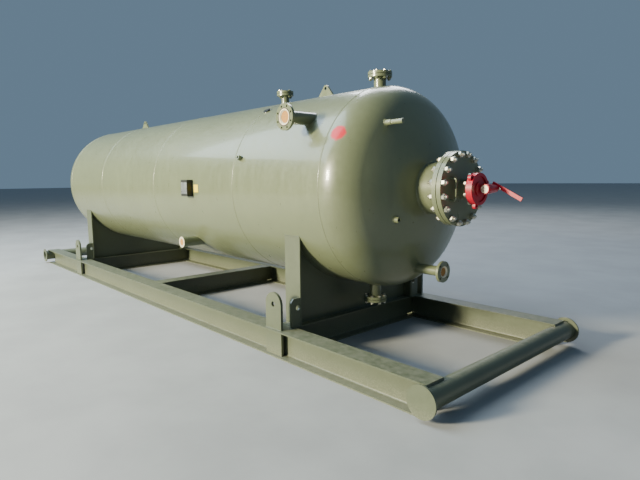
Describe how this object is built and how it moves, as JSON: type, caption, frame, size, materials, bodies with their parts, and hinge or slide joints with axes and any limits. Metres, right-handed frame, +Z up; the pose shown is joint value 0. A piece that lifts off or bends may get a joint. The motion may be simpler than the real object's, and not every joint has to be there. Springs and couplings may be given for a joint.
{
  "type": "horizontal pressure tank on a skid",
  "caption": "Horizontal cylindrical pressure tank with dished ends, an end manway with a lever valve and flanged nozzles, on saddles welded to a beam skid with pad eyes.",
  "frame": {"origin": "on the ground under the middle of the skid", "axes": "+X along the tank towards the manway, +Y across the tank away from the side nozzle, +Z up"},
  "size_m": [9.1578, 2.3, 2.5997],
  "materials": {
    "enamel": "gloss olive grey enamel",
    "saddle_paint": "gloss olive grey enamel",
    "skid_paint": "satin olive grey paint, dusty",
    "gasket": "matte fibre",
    "red_paint": "satin red paint",
    "bare_steel": "bare steel",
    "plywood": "raw plywood",
    "bracket_paint": "olive grey enamel"
  },
  "bodies": {
    "tank": {"shell_course_1": "enamel", "shell_course_2": "enamel", "shell_course_3": "enamel", "shell_course_4": "enamel", "near_head": "enamel", "far_head": "enamel", "manway_neck": "enamel", "manway_flange": "enamel", "manway_gasket": "gasket", "manway_cover": "enamel", "manway_handle": "enamel", "valve_nozzle": "enamel", "valve_body": "red_paint", "stem_barrel": "red_paint", "barrel_cap": "bare_steel", "near_top_nozzle": "enamel", "near_top_blind": "enamel", "far_top_nozzle": "enamel", "far_top_blind": "enamel", "side_nozzle": "enamel", "side_nozzle_plug": "plywood", "side_stub": "enamel", "side_stub_plug": "plywood", "drain_nozzle": "enamel", "drain_plug": "plywood", "bottom_nozzle": "enamel", "bottom_blind": "enamel", "head_nipple": "enamel", "couplings": "enamel", "nameplate_bracket": "bracket_paint", "lifting_lugs": "enamel", "near_saddle": "saddle_paint", "far_saddle": "saddle_paint", "front_rail": "skid_paint", "back_rail": "skid_paint", "near_cross_member": "skid_paint", "middle_cross_member": "skid_paint", "far_cross_member": "skid_paint", "near_end_pipe": "skid_paint", "far_end_pipe": "skid_paint", "end_discs": "skid_paint", "pad_eyes": "skid_paint"},
    "lever": {"valve_lever": "red_paint"}
  },
  "joints": [
    {"name": "valve_turn", "type": "hinge", "parent": "tank", "child": "lever", "pos_m": [4.2163, 0.178, 1.526], "axis": [0, 1, 0], "range_deg": [-27, 63]}
  ]
}
